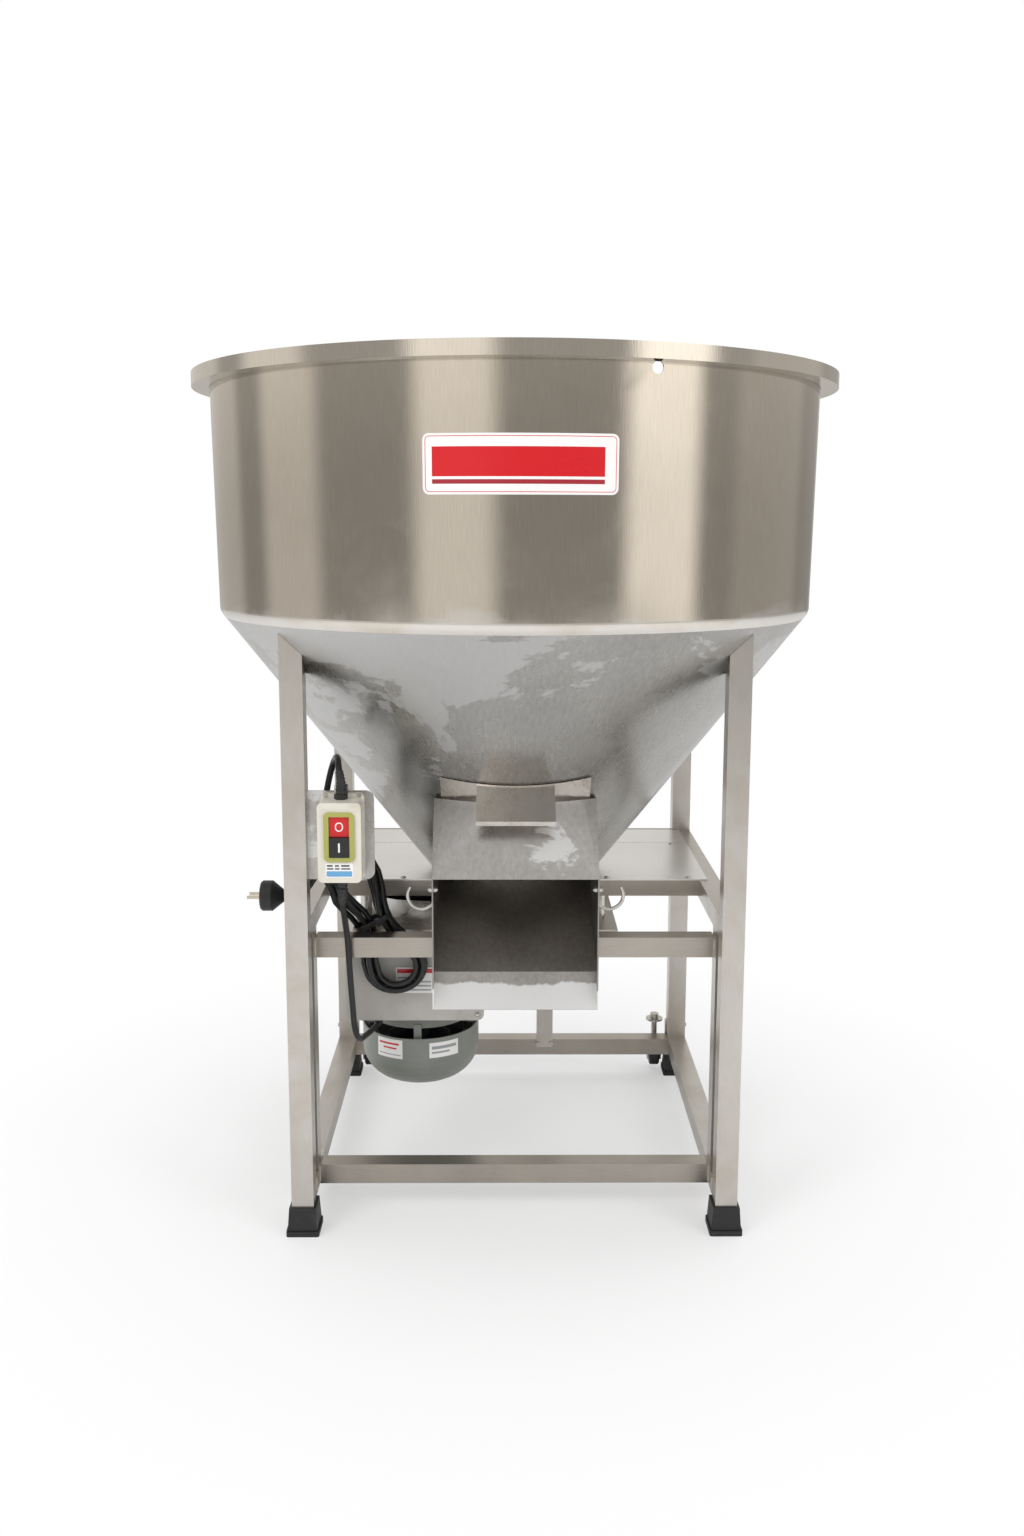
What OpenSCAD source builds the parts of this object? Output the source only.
// Vertical feed mixer: an open stainless tub and cone on a square-tube frame, a belt-driven
// auger, a hooded outlet chute with a sliding gate, a push-button switch and a motor
// under the deck. Millimetres. X to the right, Y to the rear, Z up. The origin lies on the
// floor under the tub's axis.

/* [Tub] */
// Outer radius of the rim
rim_r = 488; // [478:1:520]
// Height of the rim's top above the floor
rim_top = 1246; // [1180:1:1400]
// Height of the rim's band
rim_h = 20; // [14:1:30]
// Outer radius of the tub wall under the rim
tub_r = 462; // [455:1:468]
// How much the tub wall narrows towards its foot
tub_taper = 6; // [0:1:12]
// Height of the foot of the straight wall
wall_foot = 905; // [880:1:930]
// Radius of the rounded corner between wall and cone
corner_r = 20; // [12:1:40]
// Sheet thickness of tub, cone and rim
tub_t = 2; // [1.5:0.5:3]
// Outer radius of the cone where it stands on the deck
cone_r = 128; // [120:1:136]

/* [Frame] */
// Width of the frame over its legs
frame_w = 650; // [630:1:680]
// Depth of the frame over its legs
frame_d = 600; // [580:1:640]
// Side of the square tube
tube_w = 32; // [25:1:38]
// Wall of the square tube
tube_t = 2; // [1.5:0.5:3]
// Height of the lower rails' top
lower_top = 74; // [66:1:90]
// Height of the middle front rail's top
middle_top = 428; // [415:1:432]
// Height of the deck rails' top
deck_rail_top = 472; // [470:1:480]
// Height of a rail
rail_h = 30; // [24:1:32]
// Thickness of the deck plates
deck_t = 2; // [1.5:0.5:4]

/* [Chute] */
// Width of the chute over its walls
chute_w = 234; // [230:1:240]
// Sheet thickness of the chute
chute_t = 2; // [1.5:0.5:3]
// Height of the chute's mouth
mouth_h = 189; // [175:1:200]
// Height of the chute's lip above the floor
lip_z = 349; // [340:1:356]
// Width of the outlet in the cone
outlet_w = 150; // [120:1:160]
// Width of the gate
gate_w = 214; // [200:1:218]
// Travel of the gate
gate_travel = 90; // [70:1:100]

/* [Switch] */
// Width of the switch box
box_w = 60; // [54:1:66]
// Height of the switch box
box_h = 112; // [100:1:120]
// Depth of the switch cover in front of its base
box_d = 40; // [34:1:46]
// Travel of the push buttons
button_travel = 4; // [2:0.5:5]

/* [Cord] */
// Diameter of the cords
cord_d = 9; // [7:0.5:9]

/* [Motor] */
// Outer radius of the motor's ribs
motor_r = 84; // [80:1:86]
// Radius of the fan cover
fan_cover_r = 95; // [92:1:98]
// Width of the terminal box
terminal_w = 212; // [190:1:214]
// Height of the terminal box
terminal_h = 125; // [110:1:125]

/* [Drive] */
// Pitch radius of the motor pulley
motor_pulley_r = 34; // [30:1:38]
// Pitch radius of the auger pulley
auger_pulley_r = 98; // [90:1:102]
// Radius of the auger shaft in its bearings
shaft_r = 20; // [16:1:24]
// Radius of the auger flight
flight_r = 105; // [80:1:112]
// Pitch of the auger flight
flight_pitch = 140; // [110:1:180]

/* [Hidden] */
$fn = 96;
// Overrun of every cut
over = 10;
// Gap of a seat between pieces that touch
seat = 0.1;
// Gap between curved faces of different pieces
curved_gap = 0.3;
// Radial clearance of a running fit
running = 0.05;

// Frame lines
half_w = frame_w / 2;
half_d = frame_d / 2;
inner_w = half_w - tube_w;
inner_d = half_d - tube_w;
deck_top = deck_rail_top + deck_t;
rail_bottom = deck_rail_top - rail_h;

// Cone and corner: the cone is the tangent from its foot to the corner's circle
foot_r = tub_r - tub_taper;
corner_centre = [foot_r - corner_r, wall_foot];
cone_foot = [cone_r, deck_top];
cone_reach = norm(corner_centre - cone_foot);
cone_angle = atan2(corner_centre.x - cone_foot.x, corner_centre.y - cone_foot.y)
    + asin(corner_r / cone_reach);
cone_run = sqrt(cone_reach * cone_reach - corner_r * corner_r);
cone_along = [sin(cone_angle), cos(cone_angle)];
cone_square = [-cos(cone_angle), sin(cone_angle)];
seam = cone_foot + cone_run * cone_along;
seam_land = 4;
wall_end = seam - seam_land * cone_along;
cone_end = wall_end - seat * cone_along;
rim_foot = rim_top - rim_h;
tub_hole_r = 8;
tub_hole_angle = -68;
tub_hole_drop = 7;
floor_t = 3;
shaft_hole_r = shaft_r + 6;

function cone_r_at(z) = cone_foot.x + (z - cone_foot.y) * tan(cone_angle);

// Outline helpers: a polyline, and the sheet that lies on its left side
function unit(v) = v / norm(v);
function left_of(a, b) = [-unit(b - a).y, unit(b - a).x];
function miter(line, i, t) =
    let (last = len(line) - 1,
        before = left_of(line[max(i - 1, 0)], line[max(i, 1)]),
        after = left_of(line[min(i, last - 1)], line[min(i + 1, last)]),
        mean = unit(before + after))
    line[i] + mean * t / (mean * before);
function sheet(line, t) =
    concat(line, [for (i = [len(line) - 1:-1:0]) miter(line, i, t)]);
function arc(centre, r, from, to, steps) =
    [for (i = [0:steps]) centre + r * [cos(from + (to - from) * i / steps),
        sin(from + (to - from) * i / steps)]];

// Rectangle with round corners, on its centre
module round_rect(w, h, r) {
    square([w - 2 * r, h], center = true);
    square([w, h - 2 * r], center = true);
    for (x = [-1, 1], y = [-1, 1])
        translate([x * (w / 2 - r), y * (h / 2 - r)]) circle(r, $fn = 32);
}

// A box between two corners
module block(low, high) {
    translate(low) cube(high - low);
}

// Copies for the left and the right side
module both_sides() {
    children();
    mirror([1, 0, 0]) children();
}

// Solid cone of the tub, grown by a distance square to its wall
module cone_solid(grow) {
    out = grow / cos(cone_angle);
    rotate_extrude()
        polygon([[0, deck_top - over], [cone_foot.x + out - over * tan(cone_angle), deck_top - over],
            [seam.x + out, seam.y], [seam.x + out, rim_top], [0, rim_top]]);
}

module rim_ring() {
    color("Gainsboro") rotate_extrude($fn = 180)
        polygon([[tub_r - tub_t, rim_top - tub_t], [tub_r - tub_t, rim_top], [rim_r, rim_top],
            [rim_r, rim_foot], [tub_r + seat, rim_foot], [tub_r + seat, rim_foot + tub_t],
            [rim_r - tub_t, rim_foot + tub_t], [rim_r - tub_t, rim_top - tub_t]]);
}

module tub_wall() {
    corner_steps = 6;
    outer = concat([[tub_r, rim_top - tub_t - seat]],
        arc(corner_centre, corner_r, 0, -cone_angle, corner_steps), [wall_end]);
    color("Silver") difference() {
        rotate_extrude($fn = 180) polygon(sheet(outer, -tub_t));
        rotate([0, 0, tub_hole_angle])
            translate([tub_r - tub_taper - over, 0, rim_foot - tub_hole_drop])
                rotate([0, 90, 0]) cylinder(r = tub_hole_r, h = tub_taper + 2 * over, $fn = 48);
    }
}

// The outlet is a window in the front of the cone
outlet_low = deck_top + 24;
outlet_high = outlet_low + 102;
module tub_cone() {
    color("Silver") difference() {
        rotate_extrude($fn = 180)
            polygon([cone_foot, cone_end, cone_end + tub_t * cone_square,
                cone_foot - [tub_t / cos(cone_angle), 0]]);
        difference() {
            block([-outlet_w / 2, -rim_r, outlet_low], [outlet_w / 2, 0, outlet_high]);
            under_slide(0);
        }
    }
}

module tub_floor() {
    color("Silver") translate([0, 0, deck_top]) difference() {
        cylinder(r = cone_r - tub_t / cos(cone_angle) - curved_gap, h = floor_t);
        translate([0, 0, -over]) cylinder(r = shaft_hole_r, h = floor_t + 2 * over);
    }
}

// Legs: open square tubes that end on the cone
boot_floor = 6;
module leg(x_side, y_side) {
    low = [inner_w, inner_d, boot_floor];
    high = [half_w, half_d, wall_foot];
    wall = [tube_t, tube_t, 0];
    color("Silver") difference() {
        mirror([x_side < 0 ? 1 : 0, 0, 0]) mirror([0, y_side < 0 ? 1 : 0, 0])
            difference() {
                block(low, high);
                block(low + wall - [0, 0, over], high - wall + [0, 0, over]);
            }
        cone_solid(seat);
    }
}

// Rubber boots: a tapered sleeve on a flange
boot_h = 42;
boot_wall = 3.5;
boot_flange = 8;
boot_flange_h = 8;
module boot() {
    top = tube_w / 2 + boot_wall;
    foot = tube_w / 2 + boot_flange - boot_wall / 2;
    difference() {
        union() {
            intersection_for (turn = [0, 90])
                rotate([90, 0, turn]) linear_extrude(2 * foot, center = true)
                    polygon([[-foot, 0], [foot, 0], [top, boot_h], [-top, boot_h]]);
            linear_extrude(boot_flange_h)
                round_rect(tube_w + 2 * boot_flange, tube_w + 2 * boot_flange, boot_wall);
        }
        translate([0, 0, boot_floor])
            linear_extrude(boot_h) square(tube_w + 2 * seat, center = true);
    }
}
module rubber_feet() {
    for (x = [-1, 1], y = [-1, 1])
        color("#161616") translate([x * (half_w - tube_w / 2), y * (half_d - tube_w / 2), 0]) boot();
}

// Square rails, hollow and with open ends, between two corners
module rail(low, high, along) {
    hollow = [for (i = [0:2]) i == along ? -over : tube_t];
    color("Silver") difference() {
        block(low, high);
        block(low + hollow, high - hollow);
    }
}
post_front = inner_d - 20;
front_rail_y = -(post_front - tube_w / 2);
rear_rail_y = inner_d - 12;
lower_foot = lower_top - rail_h;
module lower_front_rail() {
    rail([-inner_w, front_rail_y, lower_foot], [inner_w, front_rail_y + rail_h, lower_top], 0);
}
module lower_rear_rail() {
    rail([-inner_w, rear_rail_y, lower_foot], [inner_w, rear_rail_y + rail_h, lower_top], 0);
}
module side_rail(foot, top) {
    rail([inner_w, -inner_d, foot], [half_w, inner_d, top], 1);
}
module post() {
    rail([inner_w, -post_front, lower_top], [half_w, -post_front + tube_w, rail_bottom], 2);
}
module middle_front_rail() {
    rail([-inner_w, front_rail_y, middle_top - rail_h],
        [inner_w, front_rail_y + rail_h, middle_top], 0);
}

// Deck: a front cross rail, a rear rail and two plates
deck_front = -77;
deck_seam = 166;
deck_lap = 12;
cross_rail = 25;
deck_seam_gap = 1.5;
module deck_front_rail() {
    rail([-inner_w, deck_front, deck_rail_top - cross_rail],
        [inner_w, deck_front + cross_rail, deck_rail_top], 0);
}
module deck_rear_rail() {
    rail([-inner_w, rear_rail_y, rail_bottom], [inner_w, rear_rail_y + rail_h, deck_rail_top], 0);
}
module deck_plates() {
    wide = inner_w + deck_lap;
    color("Gainsboro") {
        difference() {
            block([-wide, deck_front, deck_rail_top], [wide, deck_seam - deck_seam_gap, deck_top]);
            translate([0, 0, deck_rail_top - over]) cylinder(r = shaft_hole_r, h = deck_t + 2 * over);
        }
        block([-wide, deck_seam, deck_rail_top], [wide, inner_d - deck_seam_gap, deck_top]);
    }
}

// Chute: side walls, slide, back and lip, open towards the cone
mouth_y = -half_d - 15;
mouth_top = lip_z + mouth_h;
hood_rise = 98;
hood_top = mouth_top + hood_rise;
fold = [mouth_y + 35, lip_z + 43];
// The slide runs from the fold over the front edge of the middle rail
slide_over = [front_rail_y, max(middle_top + 2, fold.y + 20)];
function slide_z(y) = fold.y + (y - fold.x) * (slide_over.y - fold.y) / (slide_over.x - fold.x);
slide_angle = atan((slide_over.y - fold.y) / (slide_over.x - fold.x));
chute_back = -cone_r / 2;
// Everything below the slide's upper face
module under_slide(grow) {
    rise = (chute_t + grow) / cos(slide_angle);
    rotate([90, 0, 90]) linear_extrude(chute_w, center = true)
        polygon([[mouth_y, 0], [0, 0], [0, slide_z(0) + rise], [mouth_y, slide_z(mouth_y) + rise]]);
}
module chute_body() {
    floor_line = [[mouth_y, lip_z], fold, [chute_back, slide_z(chute_back)]];
    wall_line = concat(floor_line, [[chute_back, hood_top], [hood_edge(chute_w / 2), hood_top],
        [mouth_y, mouth_top]]);
    color("Silver") difference() {
        union() {
            for (x = [-chute_w / 2, chute_w / 2 - chute_t])
                translate([x, 0, 0]) rotate([90, 0, 90]) linear_extrude(chute_t) polygon(wall_line);
            translate([-chute_w / 2 + chute_t / 2, 0, 0]) rotate([90, 0, 90])
                linear_extrude(chute_w - chute_t) polygon(sheet(floor_line, chute_t));
        }
        cone_solid(curved_gap);
        for (x = [-1, 1]) translate([x * chute_w / 2, hook_y, hook_bolt_z]) rotate([0, 90, 0])
            cylinder(r = hook_wire / 2 + seat, h = 2 * over, center = true, $fn = 32);
    }
}
// Upper edge of the hood: it follows the gate, as far out as the gate comes on its way
gate_slot = 1;
function hood_edge(x) =
    let (out = (gate_gap + gate_t + gate_slot) / cos(cone_angle),
        far_r = cone_r_at(hood_top - gate_travel * cos(gate_slope)) + out,
        near_r = cone_r_at(hood_top) + out)
    min(-sqrt(near_r * near_r - x * x),
        -gate_travel * sin(gate_slope) - sqrt(far_r * far_r - x * x));
hood_strips = 12;
// Hood: a bent sheet from the straight edge of the mouth to the round edge at the gate, with
// a flat middle and two round corners that fan out from the ends of the straight edge
module chute_hood() {
    half = hood_strips / 2;
    foot = [mouth_y, mouth_top + seat];
    edge = [for (i = [0:hood_strips])
        let (x = chute_w * (i / hood_strips - 0.5))
        [x, hood_edge(x), hood_top + seat]];
    inner = concat([[-chute_w / 2, foot.x, foot.y], [chute_w / 2, foot.x, foot.y]], edge);
    out = chute_t * left_of(foot, [hood_edge(0), hood_top + seat]);
    count = len(inner);
    fans = concat([for (i = [0:half - 1]) [0, i + 3, i + 2]], [[0, 1, half + 2]],
        [for (i = [half:hood_strips - 1]) [1, i + 3, i + 2]]);
    round_about = concat([0], [for (i = [0:hood_strips]) i + 2], [1]);
    rim = [for (i = [0:len(round_about) - 1], side = [0, 1])
        let (a = round_about[i], b = round_about[(i + 1) % len(round_about)])
        side == 0 ? [a, b, b + count] : [a, b + count, a + count]];
    color("Gainsboro") polyhedron(concat(inner, [for (p = inner) p + [0, out.x, out.y]]),
        concat(fans, [for (f = fans) [f[2] + count, f[1] + count, f[0] + count]], rim));
}

// Gate: a piece of cone wall that slides up along the cone, with a handle plate
gate_gap = 0.5;
gate_t = 2;
gate_low = outlet_low;
gate_top = 664;
gate_full = 590;
gate_low_share = 0.62;
// Height by which the upper corners of the rolled plate stand over its middle
gate_lift = 10;
handle_w = 110;
handle_d = 66;
handle_lip = 9;
gate_edge_angle = asin(gate_w / 2 / cone_r_at(gate_full));
// Slope of the travel from the vertical: the gate's edges keep clear of the cone on the way
gate_slope = atan(tan(cone_angle) / cos(gate_edge_angle));
echo(gate_axis = [0, -sin(gate_slope), cos(gate_slope)]);
function cone_point(z, out) =
    [cone_r_at(z), z] + out * [cos(cone_angle), -sin(cone_angle)];
module gate_plate() {
    far = gate_gap + gate_t;
    color("Gainsboro") {
        difference() {
            intersection() {
                rotate_extrude($fn = 180)
                    polygon([cone_point(gate_low, gate_gap), cone_point(gate_low, far),
                        cone_point(gate_top + 2 * gate_lift, far),
                        cone_point(gate_top + 2 * gate_lift, gate_gap)]);
                rotate([90, 0, 0]) linear_extrude(rim_r)
                    polygon(concat([[gate_w / 2, gate_full],
                        [gate_low_share * gate_w / 2, gate_low - over],
                        [-gate_low_share * gate_w / 2, gate_low - over], [-gate_w / 2, gate_full]],
                        [for (i = [-6:6]) [i * gate_w / 12, gate_top + gate_lift * i * i / 36]]));
            }
            under_slide(gate_gap);
        }
        difference() {
            translate([0, -cone_point(gate_top, 0).x, cone_point(gate_top, 0).y])
                rotate([cone_angle, 0, 0]) union() {
                    block([-handle_w / 2, -handle_d, -gate_t], [handle_w / 2, handle_d / 2, 0]);
                    block([-handle_w / 2, -handle_d, -handle_lip],
                        [handle_w / 2, -handle_d + gate_t, 0]);
                }
            cone_solid(gate_gap + gate_t / 2);
        }
    }
}

// Bag hooks: bent wire on the chute's wall, under a bolt with a nut on each side
hook_wire = 5;
hook_r = 20;
hook_y = mouth_y + 15;
hook_z = mouth_top - 26;
hook_bolt_z = mouth_top - 18;
hook_reach = 14.6;
hook_from = -140;
hook_sweep = 178;
hook_nut_r = 4.6;
hook_nut_t = 4;
hook_bolt_end = 2;
module bag_hooks() {
    wall_x = chute_w / 2;
    both_sides() color("Silver") {
        difference() {
            translate([wall_x + hook_reach, hook_y, hook_z]) rotate([90, 0, 0])
                rotate([0, 0, hook_from]) rotate_extrude(angle = hook_sweep, $fn = 64)
                    translate([hook_r, 0]) circle(hook_wire / 2, $fn = 24);
            block([0, hook_y - hook_r, hook_z - 2 * hook_r],
                [wall_x + seat, hook_y + hook_r, hook_z + hook_r]);
        }
        union() {
            translate([wall_x - chute_t - hook_nut_t - hook_bolt_end, hook_y, hook_bolt_z])
                rotate([0, 90, 0]) cylinder(r = hook_wire / 2,
                    h = chute_t + 2 * hook_nut_t + 2 * hook_bolt_end, $fn = 24);
            for (x = [wall_x + seat, wall_x - chute_t - hook_nut_t - seat])
                translate([x, hook_y, hook_bolt_z]) rotate([0, 90, 0])
                    cylinder(r = hook_nut_r, h = hook_nut_t, $fn = 6);
        }
    }
}

// Switch: stainless plate on the leg, base, hollow cover, bezel and two interlocked buttons
plate_y = -inner_d - 12;
plate_t = 2;
plate_w = 94;
plate_foot = 530;
plate_h = 128;
plate_corner = 12;
box_x = -inner_w + 51;
box_z = plate_foot + 65;
base_d = 12;
base_ear = 5;
box_corner = 7;
cover_wall = 2.5;
cover_y = plate_y - plate_t - base_d;
face_y = cover_y - box_d;
window_w = 28;
window_h = 57;
window_z = box_z + 8.5;
bezel_w = 42;
bezel_h = 69;
bezel_d = 3;
button_gap = 0.4;
button_deep = 14;
button_proud = 1;
// A flat outline stood up to face the front, with its rear face at y
module facing(y, depth) {
    translate([0, y, 0]) rotate([90, 0, 0]) linear_extrude(depth) children();
}
module switch_plate() {
    right = -inner_w + plate_w;
    color("Gainsboro") facing(plate_y, plate_t) difference() {
        translate([right - plate_w / 2, plate_foot + plate_h / 2]) union() {
            round_rect(plate_w, plate_h, plate_corner);
            translate([-plate_w / 4, 0]) square([plate_w / 2, plate_h], center = true);
        }
    }
}
module switch_base() {
    color("#D2CDBB") facing(plate_y - plate_t, base_d) translate([box_x, box_z])
        round_rect(box_w, box_h + 2 * base_ear, box_corner);
}
module switch_cover() {
    color("#DAD6C6") difference() {
        facing(cover_y, box_d) translate([box_x, box_z]) round_rect(box_w, box_h, box_corner);
        facing(cover_y + over, box_d + over - cover_wall) translate([box_x, box_z])
            round_rect(box_w - 2 * cover_wall, box_h - 2 * cover_wall, box_corner - cover_wall);
        facing(cover_y, box_d + over) translate([box_x, window_z])
            square([window_w, window_h], center = true);
        for (z = [-1, 1]) translate([box_x, gland_y, box_z + z * box_h / 2])
            cylinder(r = cord_d / 2 + seat, h = 2 * over, center = true, $fn = 32);
    }
}
module switch_bezel() {
    color("#A3A54A") facing(face_y, bezel_d) translate([box_x, window_z]) difference() {
        round_rect(bezel_w, bezel_h, box_corner);
        square([window_w, window_h], center = true);
    }
}
module button(side) {
    each_h = (window_h - 3 * button_gap) / 2;
    facing(face_y + button_deep, button_deep + bezel_d + button_proud)
        translate([box_x, window_z + side * (each_h + button_gap) / 2])
            round_rect(window_w - 2 * button_gap, each_h, 2 * button_gap);
}
// At rest the stop button is pressed in and the start button stands out
module stop_button() {
    color("#C8101A") translate([0, button_travel, 0]) button(1);
}
module start_button() {
    color("#1A1A1A") button(-1);
}
screw_r = 3;
screw_head = 2;
module screw_head() {
    difference() {
        cylinder(r = screw_r, h = screw_head, $fn = 24);
        translate([0, 0, screw_head]) cube([screw_r / 4, 2 * screw_r + over, screw_head], center = true);
    }
}
module switch_screws() {
    ear = box_h / 2 + base_ear / 2 + screw_head / 4;
    color("Silver") for (p = [[-box_w / 2 + 2 * screw_r, ear], [box_w / 2 - 2 * screw_r, ear], [0, -ear]])
        translate([box_x + p.x, cover_y, box_z + p.y + sign(p.y) * screw_r / 6])
            rotate([90, 0, 0]) screw_head();
}

// Glands: a hexagon nut and a collar with the cord's bore
gland_y = cover_y - 12;
gland_r = 8;
gland_nut = 7;
gland_h = 13;
module gland() {
    difference() {
        union() {
            cylinder(r = gland_r + 1.5, h = gland_nut, $fn = 6);
            cylinder(r = gland_r - 1, h = gland_h, $fn = 32);
        }
        translate([0, 0, -over]) cylinder(r = cord_d / 2 + seat, h = gland_h + 2 * over, $fn = 32);
    }
}
module cord_glands() {
    color("#2A2A2A") {
        translate([box_x, gland_y, box_z + box_h / 2 + seat]) gland();
        translate([box_x, gland_y, box_z - box_h / 2 - seat]) mirror([0, 0, 1]) gland();
        translate([lead_end.x, lead_end.y + gland_h, lead_end.z]) rotate([90, 0, 0]) gland();
    }
}

// Cords. The free stretches are tubes swept along round points, which are joined by a
// smooth curve; the hank is one tube wound as a racetrack with a drawn-in waist.
lead_route = [[-242, -306, 536], [-242, -306, 526], [-242, -306, 515], [-243, -300, 500],
    [-244, -272, 468], [-244, -250, 440], [-243, -243, 410], [-241, -243, 370], [-238, -243, 325],
    [-236, -238, 290], [-232, -216, 266], [-225, -185, 260], [-215, -155, 260], [-212, -134, 260],
    [-212, -119, 260], [-212, -104, 260]];
lead_end = [-212, -115, 260];
lead_boss_r = 9;
steps_between = 2;
cord_sides = 8;

function curve_point(p, i, t) =
    let (last = len(p) - 1, a = p[max(i - 1, 0)], b = p[i], c = p[min(i + 1, last)],
        d = p[min(i + 2, last)])
    0.5 * (2 * b + (c - a) * t + (2 * a - 5 * b + 4 * c - d) * t * t
        + (3 * b - a - 3 * c + d) * t * t * t);
function smooth(p) =
    concat([for (i = [0:len(p) - 2], k = [0:steps_between - 1]) curve_point(p, i, k / steps_between)],
        [p[len(p) - 1]]);
function tangent(p, i) = unit(p[min(i + 1, len(p) - 1)] - p[max(i - 1, 0)]);
function across(t, n) = unit(n - (n * t) * t);
// Normals carried along the line without twist
function normals(p, start) =
    [for (i = 0, n = across(tangent(p, 0), start); i < len(p);
        i = i + 1, n = across(tangent(p, min(i, len(p) - 1)), n)) n];
module tube(p, r, sides, start) {
    n = normals(p, start);
    last = len(p) - 1;
    points = [for (i = [0:last], k = [0:sides - 1])
        let (t = tangent(p, i), b = cross(t, n[i]), a = 360 * k / sides)
        p[i] + r * (cos(a) * n[i] + sin(a) * b)];
    sides_faces = [for (i = [0:last - 1], k = [0:sides - 1], half = [0, 1])
        let (a = i * sides + k, b = i * sides + (k + 1) % sides)
        half == 0 ? [a, b + sides, b] : [a, a + sides, b + sides]];
    near_cap = [for (k = [1:sides - 2]) [0, k, k + 1]];
    far_cap = [for (k = [1:sides - 2]) last * sides * [1, 1, 1] + [0, k + 1, k]];
    polyhedron(points, concat(sides_faces, near_cap, far_cap));
}
module power_cord() {
    color("#101010") tube(smooth(power_route), cord_d / 2, cord_sides, [1, 0, 0]);
}
module plug_cord() {
    color("#101010") tube(smooth(plug_route), cord_d / 2, cord_sides, [0, 1, 0]);
}
module motor_lead() {
    color("#101010") tube(smooth(lead_route), cord_d / 2, cord_sides, [1, 0, 0]);
}

// Hank: loops spiral in on one layer, change layer along a run, and spiral out on the other
hank_low = [-180, -174, 366];
hank_high = [-240, -199, 516];
hank_twist = 58;
hank_twist_share = 0.35;
hank_r = 27;
hank_step = 10.4;
hank_layer = 5.2;
hank_waist = 22;
hank_turns_in = 2.0833;
hank_turns_out = 1.75;
hank_rings = 24;
hank_mid = 10 / 24;
hank_up = unit(hank_high - hank_low);
hank_across = unit(cross([0, 1, 0], hank_up));
hank_out = cross(hank_across, hank_up);
hank_run = norm(hank_high - hank_low);
function hank_point(u) =
    let (f = u + hank_mid - floor(u + hank_mid), r = hank_r + hank_step * abs(u),
        layer = hank_layer * max(-1, min(1, u * 24 / 4)),
        top = f * 3, foot = (f - 0.5) * 3, left = (f - 1 / 3) * 6, right = (f - 5 / 6) * 6,
        drawn = r - hank_waist * pow(sin(180 * (f < 0.5 ? left : right)), 2),
        flat = f < 1 / 3 ? [r * cos(180 * top), hank_run + r * sin(180 * top)]
            : f < 1 / 2 ? [-drawn, hank_run * (1 - left)]
            : f < 5 / 6 ? [-r * cos(180 * foot), -r * sin(180 * foot)]
            : [drawn, hank_run * right])
    hank_low + flat.y * hank_up + hank_turned(flat, flat.x, layer);
// The hank's plane turns on its way up, above the share of its height where the turn starts
function hank_turned(flat, side, layer) =
    let (up_share = (flat.y / hank_run - hank_twist_share) / (1 - hank_twist_share),
        a = hank_twist * max(0, min(1, up_share)))
    side * (cos(a) * hank_across - sin(a) * hank_out)
        + layer * (cos(a) * hank_out + sin(a) * hank_across);
hank_count = round((hank_turns_in + hank_turns_out) * hank_rings);
hank_wound = [for (i = [0:hank_count]) hank_point(-hank_turns_in + i / hank_rings)];
hank_line = concat([2 * hank_wound[0] - hank_wound[1] ], hank_wound,
    [hank_wound[hank_count] + cord_d * unit(hank_wound[hank_count] - hank_wound[hank_count - 1])]);
// Least distance between points of the line that are more than a quarter turn apart
hank_gap = min([for (i = [0:hank_count], j = [i + 6:1:hank_count])
    let (a = hank_line[i], b = hank_line[min(i + 1, hank_count)], c = hank_line[j],
        d = hank_line[min(j + 1, hank_count)])
    min(norm(a - c), norm((a + b) / 2 - c), norm(a - (c + d) / 2), norm((a + b) / 2 - (c + d) / 2))]);
echo(hank_gap = hank_gap - cord_d, hank_start = hank_line[0], hank_end = hank_line[hank_count + 2],
    start_way = unit(hank_line[0] - hank_line[1]),
    end_way = unit(hank_line[hank_count + 2] - hank_line[hank_count + 1]));
// Points on the straight lines that run on from the hank's two ends
function hank_lead_in(far) = hank_line[0] + far * unit(hank_line[0] - hank_line[1]);
function hank_lead_out(far) =
    let (last = hank_count + 2)
    hank_line[last] + far * unit(hank_line[last] - hank_line[last - 1]);
// Routes of the mains cord from the switch to the hank and from the hank to the plug
power_route = [[-242, -306, 655], [-242, -306, 665], [-242, -306, 676], [-245, -300, 692],
    [-250, -276, 704], [-258, -252, 694], [-266, -246, 668], [-272, -251, 635], [-277, -258, 603],
    [-280, -266, 576], hank_lead_in(16), hank_lead_in(8), hank_lead_in(seat)];
plug_route = [hank_lead_out(seat), hank_lead_out(5), hank_lead_out(10), [-272, -239, 552],
    [-281, -246, 538], [-290, -246, 522], [-299, -243, 508], [-309, -240, 498], [-320, -240, 494.1],
    [-327, -240, 494.1], [-334, -240, 494.1]];
module cord_hank() {
    color("#101010") tube(hank_line, cord_d / 2, 6, hank_out);
}

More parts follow.
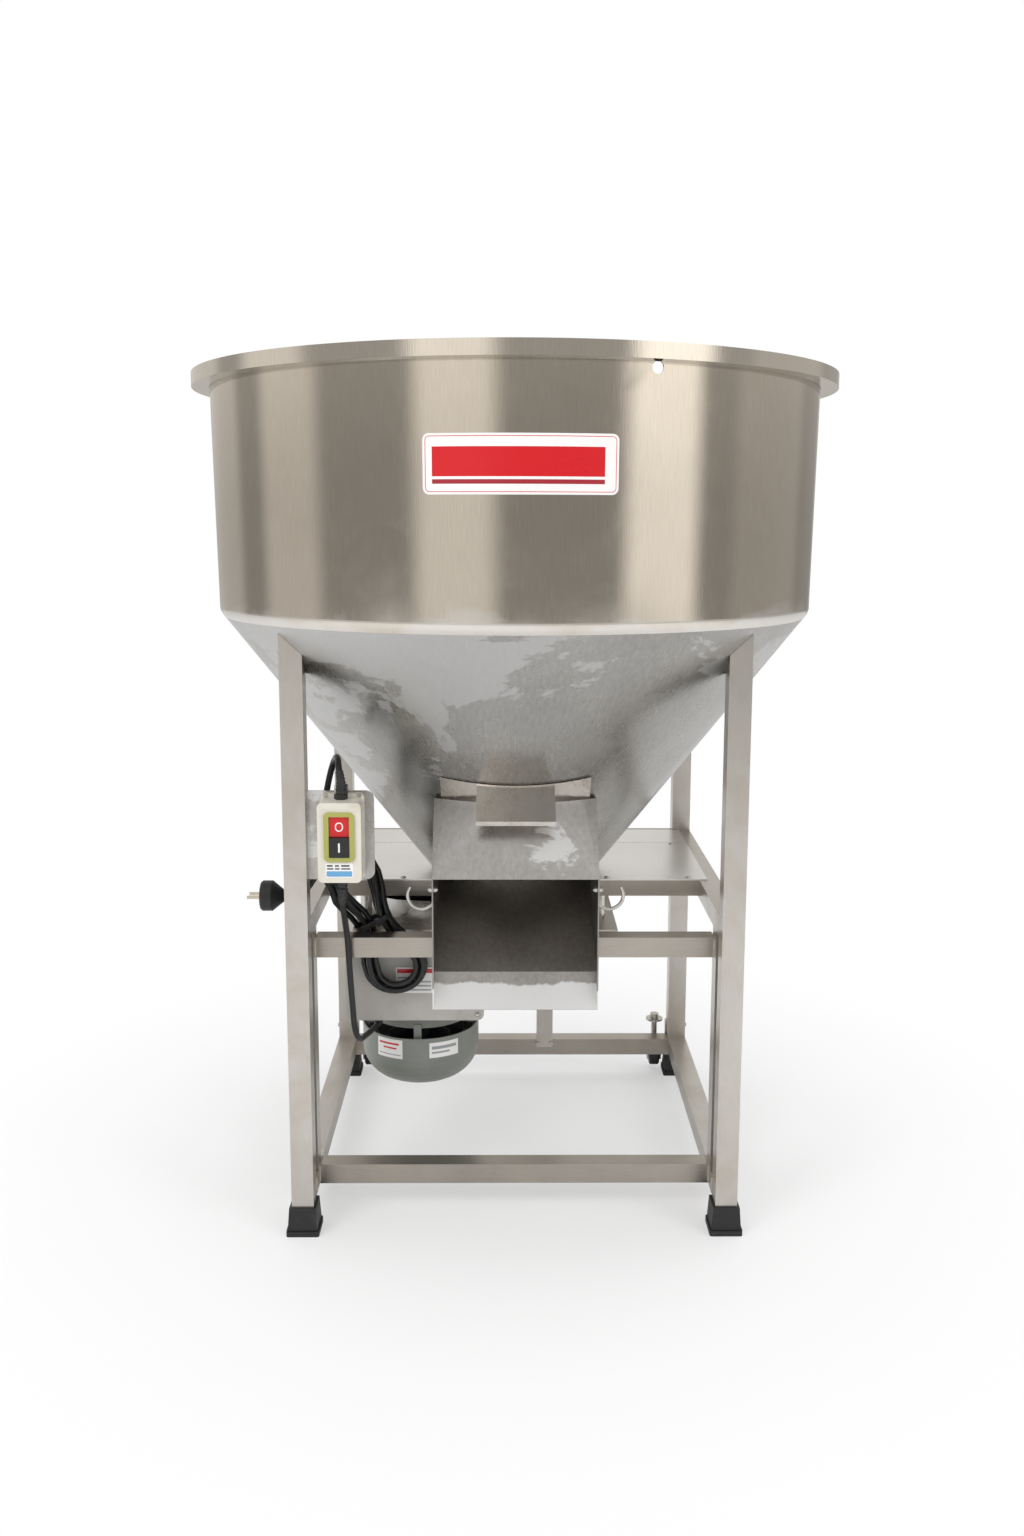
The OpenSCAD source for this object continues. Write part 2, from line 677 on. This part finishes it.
// Plug: a tapered tail, a round body and two pins, lying on the deck rail
plug_r = 22;
plug_len = 34;
plug_tail = 12;
plug_tail_r = 8;
pin_r = 2.4;
pin_len = 19;
pin_apart = 19;
plug_at = plug_route[len(plug_route) - 1];
module plug_body() {
    color("#141414") translate([plug_at.x + plug_tail, plug_at.y, plug_at.z]) rotate([0, -90, 0])
        difference() {
            rotate_extrude($fn = 48)
                polygon([[0, 0], [plug_tail_r, 0], [plug_tail_r, plug_tail], [plug_r * 0.8, plug_tail * 2],
                    [plug_r, plug_tail * 2 + plug_r / 4], [plug_r, plug_tail + plug_len - plug_r / 8],
                    [plug_r * 0.9, plug_tail + plug_len], [0, plug_tail + plug_len]]);
            translate([0, 0, -over]) cylinder(r = cord_d / 2 + seat, h = plug_tail + over, $fn = 32);
            for (y = [-1, 1]) translate([0, y * pin_apart / 2, plug_tail + plug_len / 2])
                cylinder(r = pin_r + seat, h = plug_len, $fn = 24);
        }
}
module plug_pins() {
    color("Silver") translate([plug_at.x + plug_tail, plug_at.y, plug_at.z]) rotate([0, -90, 0])
        for (y = [-1, 1]) translate([0, y * pin_apart / 2, plug_tail + plug_len / 2 + seat])
            cylinder(r = pin_r, h = plug_len / 2 + pin_len, $fn = 24);
}

// Motor, hung under its plate on the left of the auger
motor_x = -153;
motor_y = -15;
plate8_t = 8;
motor_plate_top = 408;
motor_plate_foot = motor_plate_top - plate8_t;
stator_top = motor_plate_foot - 20;
stator_foot = 250;
rib_count = 24;
rib_t = 3;
rib_h = 7;
shield_h = 14;
flange_h = 10;
motor_shaft_r = 12;
module at_motor(z) {
    translate([motor_x, motor_y, z]) children();
}
module motor_body() {
    color("#8F948C") at_motor(stator_foot) union() {
        cylinder(r = motor_r - rib_h, h = stator_top - stator_foot);
        for (i = [0:rib_count - 1]) rotate([0, 0, 360 * i / rib_count])
            translate([motor_r - 2 * rib_h, -rib_t / 2, 0])
                cube([2 * rib_h, rib_t, stator_top - stator_foot]);
        translate([lead_end.x - motor_x, lead_end.y + gland_h - motor_y, lead_end.z - stator_foot])
            rotate([-90, 0, 0]) cylinder(r = lead_boss_r, h = motor_r * 0.75, $fn = 32);
    }
}
module motor_shields() {
    color("#858A82") {
        at_motor(stator_top) difference() {
            union() {
                cylinder(r = motor_r - rib_h / 2, h = motor_plate_foot - stator_top - flange_h);
                translate([0, 0, motor_plate_foot - stator_top - flange_h])
                    cylinder(r = motor_r, h = flange_h);
            }
            translate([0, 0, -over])
                cylinder(r = motor_shaft_r + running, h = motor_plate_foot - stator_top + 2 * over);
        }
        at_motor(stator_foot - shield_h) difference() {
            cylinder(r = motor_r, h = shield_h);
            translate([0, 0, -over]) cylinder(r = motor_shaft_r + running, h = shield_h + 2 * over);
        }
    }
}
fan_z = 192;
fan_h = 28;
fan_r = 72;
fan_hub_r = 24;
fan_blades = 8;
fan_t = 3;
drive_z = motor_plate_top + 8;
pulley_h = 24;
module motor_shaft() {
    color("Silver") {
        at_motor(stator_top + seat)
            cylinder(r = motor_shaft_r, h = drive_z + pulley_h - stator_top - seat);
        at_motor(fan_z) cylinder(r = motor_shaft_r, h = stator_foot - fan_z - seat);
    }
}
module motor_fan() {
    color("#2C2C2C") at_motor(fan_z) difference() {
        union() {
            cylinder(r = fan_hub_r, h = fan_h);
            cylinder(r = fan_r, h = fan_t);
            for (i = [0:fan_blades - 1]) rotate([0, 0, 360 * i / fan_blades])
                translate([fan_hub_r - fan_t, -fan_t / 2, 0])
                    cube([fan_r - fan_hub_r, fan_t, fan_h]);
        }
        translate([0, 0, -over]) cylinder(r = motor_shaft_r + running, h = fan_h + 2 * over);
    }
}
cowl_foot = 132;
cowl_h = 90;
cowl_corner = 52;
cowl_slots = 16;
cowl_slot_w = 5;
tab_w = 12;
module fan_cover() {
    flat = fan_cover_r - cowl_corner;
    line = concat([[0, 0]], arc([flat, cowl_corner], cowl_corner, -90, 0, 8),
        [[fan_cover_r, cowl_h]]);
    tab_top = stator_foot - shield_h / 2 - cowl_foot;
    color("#8F948C") at_motor(cowl_foot) {
        difference() {
            rotate_extrude($fn = 128) polygon(sheet(line, tub_t));
            for (i = [0:cowl_slots - 1]) rotate([0, 0, 360 * i / cowl_slots])
                translate([flat / 2, -cowl_slot_w / 2, -over]) cube([flat / 2, cowl_slot_w, 2 * over]);
        }
        for (i = [0:3]) rotate([0, 0, -90 * i - 90]) difference() {
            block([motor_r - rib_h, -tab_w / 2, cowl_h - tab_w],
                [fan_cover_r - tub_t / 2, tab_w / 2, tab_top]);
            translate([0, 0, stator_foot - shield_h - cowl_foot - seat])
                cylinder(r = motor_r + seat, h = shield_h + over);
            block([0, -tab_w, 0], [motor_r + seat, tab_w, cowl_h - tab_w / 2]);
            block([motor_r + tub_t, -tab_w, cowl_h - seat], [fan_cover_r, tab_w, tab_top + over]);
        }
    }
}
terminal_y = -152;
lid_d = 12;
terminal_foot = motor_plate_foot - 5 - terminal_h;
terminal_corner = 10;
module terminal_outline(inset) {
    translate([motor_x, terminal_foot + terminal_h / 2])
        round_rect(terminal_w - 2 * inset, terminal_h - 2 * inset, terminal_corner - inset);
}
module terminal_box() {
    deep = 40;
    neck_w = 90;
    color("#A8A49B") difference() {
        union() {
            difference() {
                facing(terminal_y + lid_d + deep, deep) terminal_outline(rib_t);
                facing(terminal_y + lid_d + deep - rib_t, deep) terminal_outline(2 * rib_t);
            }
            facing(motor_y, motor_y - terminal_y - lid_d - deep + seat)
                translate([motor_x, terminal_foot + terminal_h / 2])
                    square([neck_w, terminal_h * 0.7], center = true);
        }
        at_motor(terminal_foot) cylinder(r = motor_r + curved_gap, h = terminal_h);
    }
}
module terminal_lid() {
    color("#B4B0A7") {
        facing(terminal_y + lid_d - seat, lid_d - seat) terminal_outline(0);
        for (x = [-1, 1], z = [-1, 1])
            translate([motor_x + x * (terminal_w / 2 - terminal_corner), terminal_y,
                terminal_foot + terminal_h / 2 + z * (terminal_h / 2 - terminal_corner)])
                rotate([90, 0, 0]) screw_head();
    }
}

// Motor plate and its hangers from the deck
hanger_x = [-235, 135];
hanger_front = deck_front + cross_rail / 2;
hanger_rear = 110;
hanger_r = 5;
spacer_r = 9;
bearing_r = 48;
plate_left = motor_x - 97;
plate_right = 160;
plate_front = -130;
plate_rear = 135;
module motor_plate() {
    color("Silver") difference() {
        block([plate_left, plate_front, motor_plate_foot], [plate_right, plate_rear, motor_plate_top]);
        translate([0, 0, motor_plate_foot - over]) {
            cylinder(r = shaft_hole_r, h = plate8_t + 2 * over);
            translate([motor_x, motor_y, 0])
                cylinder(r = motor_shaft_r + 6, h = plate8_t + 2 * over);
            for (x = hanger_x, y = [hanger_front, hanger_rear]) translate([x, y, 0])
                cylinder(r = hanger_r + 0.5, h = plate8_t + 2 * over, $fn = 32);
        }
    }
}
module plate_hangers() {
    nut_t = 8;
    color("Silver") for (x = hanger_x, y = [hanger_front, hanger_rear])
        translate([x, y, 0]) {
            top = y < 0 ? deck_rail_top - cross_rail : deck_rail_top;
            translate([0, 0, motor_plate_top]) cylinder(r = spacer_r, h = top - motor_plate_top, $fn = 32);
            translate([0, 0, motor_plate_foot - 1.5 * nut_t])
                cylinder(r = hanger_r, h = 1.5 * nut_t + plate8_t, $fn = 32);
            translate([0, 0, motor_plate_foot - nut_t]) cylinder(r = spacer_r, h = nut_t, $fn = 6);
        }
}

// Belt drive: two grooved pulleys, the belt round them and an open guard
motor_centre = [motor_x, motor_y];
centre_line = atan2(motor_y, motor_x);
belt_depth = 8;
belt_h = 13;
pulley_lip = 4;
belt_gap = 0.5;
function loop_outline(motor_side_r, auger_side_r) =
    let (turn = acos((auger_side_r - motor_side_r) / norm(motor_centre)))
    concat(arc(motor_centre, motor_side_r, centre_line - turn, centre_line + turn, 24),
        arc([0, 0], auger_side_r, centre_line + turn, centre_line + 360 - turn, 48));
module pulley(pitch_r, bore) {
    rim = pitch_r + pulley_lip;
    bottom = pitch_r - belt_depth;
    difference() {
        rotate_extrude($fn = 128)
            polygon([[bore, 0], [rim, 0], [rim, (pulley_h - belt_h) / 2 - 1],
                [bottom, (pulley_h - belt_h) / 2 + 1], [bottom, (pulley_h + belt_h) / 2 - 1],
                [rim, (pulley_h + belt_h) / 2 + 1], [rim, pulley_h], [bore, pulley_h]]);
        children();
    }
}
module motor_pulley() {
    color("#4A4A4A") at_motor(drive_z) pulley(motor_pulley_r, motor_shaft_r + running);
}
pulley_holes = 5;
pulley_hole_r = 18;
module auger_pulley() {
    color("#4A4A4A") translate([0, 0, drive_z]) pulley(auger_pulley_r, shaft_r + running)
        for (i = [0:pulley_holes - 1]) rotate([0, 0, 360 * i / pulley_holes])
            translate([(auger_pulley_r + shaft_r) / 2, 0, -over])
                cylinder(r = pulley_hole_r, h = pulley_h + 2 * over, $fn = 48);
}
module drive_belt() {
    inner = -belt_depth + belt_gap;
    outer = pulley_lip - 1;
    color("#151515") translate([0, 0, drive_z + (pulley_h - belt_h) / 2 + 1 + belt_gap / 2])
        linear_extrude(belt_h - 2 - belt_gap) difference() {
            polygon(loop_outline(motor_pulley_r + outer, auger_pulley_r + outer));
            polygon(loop_outline(motor_pulley_r + inner, auger_pulley_r + inner));
        }
}
guard_motor_r = 80;
guard_auger_r = 124;
guard_h = 36;
guard_band = 5;
module belt_guard() {
    color("Silver") translate([0, 0, motor_plate_top]) {
        linear_extrude(guard_h) difference() {
            polygon(loop_outline(guard_motor_r, guard_auger_r));
            polygon(loop_outline(guard_motor_r - tub_t, guard_auger_r - tub_t));
        }
        linear_extrude(tub_t) difference() {
            polygon(loop_outline(guard_motor_r + guard_band, guard_auger_r + guard_band));
            polygon(loop_outline(guard_motor_r - tub_t, guard_auger_r - tub_t));
        }
    }
}

// Auger: shaft in two flange bearings, helical flight and paddles
bearing_h = 28;
bearing_flange_h = 10;
bearing_hub_r = 34;
pipe_r = 30;
pipe_foot = deck_top + floor_t + bearing_h + 6;
auger_top = rim_top - 110;
journal_foot = motor_plate_foot - bearing_h - 4;
module bearing() {
    difference() {
        union() {
            cylinder(r = bearing_r, h = bearing_flange_h);
            cylinder(r = bearing_hub_r, h = bearing_h);
        }
        translate([0, 0, -over]) cylinder(r = shaft_r + running, h = bearing_h + 2 * over);
    }
}
module shaft_bearings() {
    color("#6A6A6A") {
        translate([0, 0, deck_top + floor_t]) bearing();
        translate([0, 0, motor_plate_foot]) mirror([0, 0, 1]) bearing();
    }
}
module auger_shaft() {
    dome = pipe_r * 0.6;
    color("Silver") rotate_extrude()
        polygon(concat([[0, journal_foot], [shaft_r, journal_foot], [shaft_r, pipe_foot],
            [pipe_r, pipe_foot], [pipe_r, auger_top - dome]],
            arc([pipe_r - dome, auger_top - dome], dome, 15, 90, 5), [[0, auger_top]]));
}
flight_t = 4;
flight_foot = pipe_foot + 60;
flight_steps = 32;
module auger_flight() {
    turns = (auger_top - pipe_r - flight_foot) / flight_pitch;
    last = round(turns * flight_steps);
    inner = pipe_r + curved_gap;
    points = [for (i = [0:last], k = [0:3])
        let (a = 360 * i / flight_steps, r = k == 0 || k == 3 ? inner : flight_r,
            z = flight_foot + flight_pitch * i / flight_steps + (k > 1 ? flight_t : 0))
        [r * cos(a), r * sin(a), z]];
    walls = [for (i = [0:last - 1], k = [0:3], half = [0, 1])
        let (a = 4 * i + k, b = 4 * i + (k + 1) % 4)
        half == 0 ? [a, b, b + 4] : [a, b + 4, a + 4]];
    end = 4 * last;
    caps = [[0, 2, 1], [0, 3, 2], [end, end + 1, end + 2], [end, end + 2, end + 3]];
    color("Silver") polyhedron(points, concat(walls, caps));
}
paddle_z = pipe_foot + 8;
paddle_h = 26;
paddle_t = 6;
paddle_r = 138;
paddle_tilt = 35;
collar_t = 8;
module auger_paddles() {
    color("Silver") difference() {
        union() {
            translate([0, 0, paddle_z]) cylinder(r = pipe_r + collar_t, h = paddle_h);
            for (turn = [0, 180]) rotate([0, 0, turn])
                translate([pipe_r, 0, paddle_z + paddle_h / 2]) rotate([paddle_tilt, 0, 0])
                    translate([0, -paddle_t / 2, -paddle_h / 2])
                        cube([paddle_r - pipe_r, paddle_t, paddle_h]);
        }
        translate([0, 0, paddle_z - over]) cylinder(r = pipe_r + seat, h = paddle_h + 2 * over);
    }
}

// Rear strap with its bolts
brace_x = 60;
brace_w = 30;
brace_t = 3;
brace_low = lower_top - 14;
brace_bolt_drop = 7;
module rear_brace() {
    color("Silver") {
        block([brace_x - brace_w / 2, rear_rail_y - brace_t, brace_low],
            [brace_x + brace_w / 2, rear_rail_y, deck_rail_top - 2 * brace_t]);
        for (x = [-1, 1], z = [lower_top - brace_bolt_drop, deck_rail_top - rail_h / 2])
            translate([brace_x + x * (brace_w / 2 - screw_r), rear_rail_y - brace_t, z])
                rotate([90, 0, 0]) cylinder(r = screw_r * 1.5, h = screw_head * 1.5, $fn = 6);
    }
}

// Casters on the inner faces of the rear legs; the wheels just clear the floor
caster_y = half_d + 4;
caster_x = inner_w - 22;
wheel_r = 20;
wheel_w = 18;
wheel_z = wheel_r + 6;
axle_r = 4;
fork_t = 3;
fork_gap = 1;
cup_top = 98;
cap_r = 8;
cap_h = 12;
module caster_bracket() {
    cheek = wheel_w / 2 + fork_gap;
    fork_top = wheel_z + wheel_r + 4;
    color("Silver") union() {
        for (x = [-cheek - fork_t, cheek])
            translate([caster_x + x, caster_y, 0]) rotate([90, 0, 90]) linear_extrude(fork_t)
                polygon([[-axle_r * 2, wheel_z - axle_r * 2], [axle_r * 2, wheel_z - axle_r * 2],
                    [wheel_r * 0.8, fork_top], [-wheel_r * 0.8, fork_top]]);
        block([caster_x - cheek - fork_t, caster_y - wheel_r * 0.8, fork_top - fork_t],
            [caster_x + cheek + fork_t, caster_y + wheel_r * 0.8, fork_top]);
        translate([caster_x, caster_y, wheel_z]) rotate([0, 90, 0])
            cylinder(r = axle_r, h = 2 * cheek + fork_t, center = true, $fn = 32);
        translate([caster_x, caster_y, fork_top - seat])
            cylinder(r = cap_r * 0.7, h = cup_top + seat - fork_top, $fn = 32);
        translate([caster_x, caster_y, cup_top - fork_t]) {
            cylinder(r = wheel_w - 2, h = fork_t, $fn = 48);
            cylinder(r = cap_r, h = cap_h, $fn = 32);
        }
        block([caster_x, caster_y - wheel_r * 0.8, fork_top],
            [inner_w, caster_y + wheel_r * 0.2, fork_top + 2 * fork_t]);
        block([inner_w - fork_t, caster_y - wheel_r * 0.8, fork_top], [inner_w, half_d, cup_top]);
        translate([half_w, half_d - tube_w / 2, cup_top - 6]) rotate([0, 90, 0])
            cylinder(r = axle_r, h = axle_r, $fn = 6);
    }
}
module caster_brackets() {
    both_sides() caster_bracket();
}
module caster_wheel() {
    color("#202020") translate([caster_x, caster_y, wheel_z]) rotate([0, 90, 0])
        rotate_extrude($fn = 64)
            polygon([[axle_r + running, -wheel_w / 2], [wheel_r - 2, -wheel_w / 2],
                [wheel_r, -wheel_w / 2 + 2], [wheel_r, wheel_w / 2 - 2], [wheel_r - 2, wheel_w / 2],
                [axle_r + running, wheel_w / 2]]);
}

rim_ring();
tub_wall();
tub_cone();
tub_floor();
leg(-1, -1);  // leg_front_left
leg(1, -1);  // leg_front_right
leg(-1, 1);  // leg_rear_left
leg(1, 1);  // leg_rear_right
rubber_feet();
lower_front_rail();
lower_rear_rail();
mirror([1, 0, 0]) side_rail(lower_foot, lower_top);  // lower_left_rail
side_rail(lower_foot, lower_top);  // lower_right_rail
mirror([1, 0, 0]) post();  // left_post
post();  // right_post
middle_front_rail();
mirror([1, 0, 0]) side_rail(rail_bottom, deck_rail_top);  // deck_left_rail
side_rail(rail_bottom, deck_rail_top);  // deck_right_rail
deck_front_rail();
deck_rear_rail();
deck_plates();
chute_body();
chute_hood();
gate_plate();
bag_hooks();
switch_plate();
switch_base();
switch_cover();
switch_bezel();
stop_button();
start_button();
switch_screws();
cord_glands();
power_cord();
cord_hank();
plug_cord();
plug_body();
plug_pins();
motor_lead();
motor_body();
motor_shields();
motor_shaft();
motor_fan();
fan_cover();
terminal_box();
terminal_lid();
motor_plate();
plate_hangers();
motor_pulley();
auger_pulley();
drive_belt();
belt_guard();
shaft_bearings();
auger_shaft();
auger_flight();
auger_paddles();
rear_brace();
caster_brackets();
mirror([1, 0, 0]) caster_wheel();  // caster_wheel_left
caster_wheel();  // caster_wheel_right
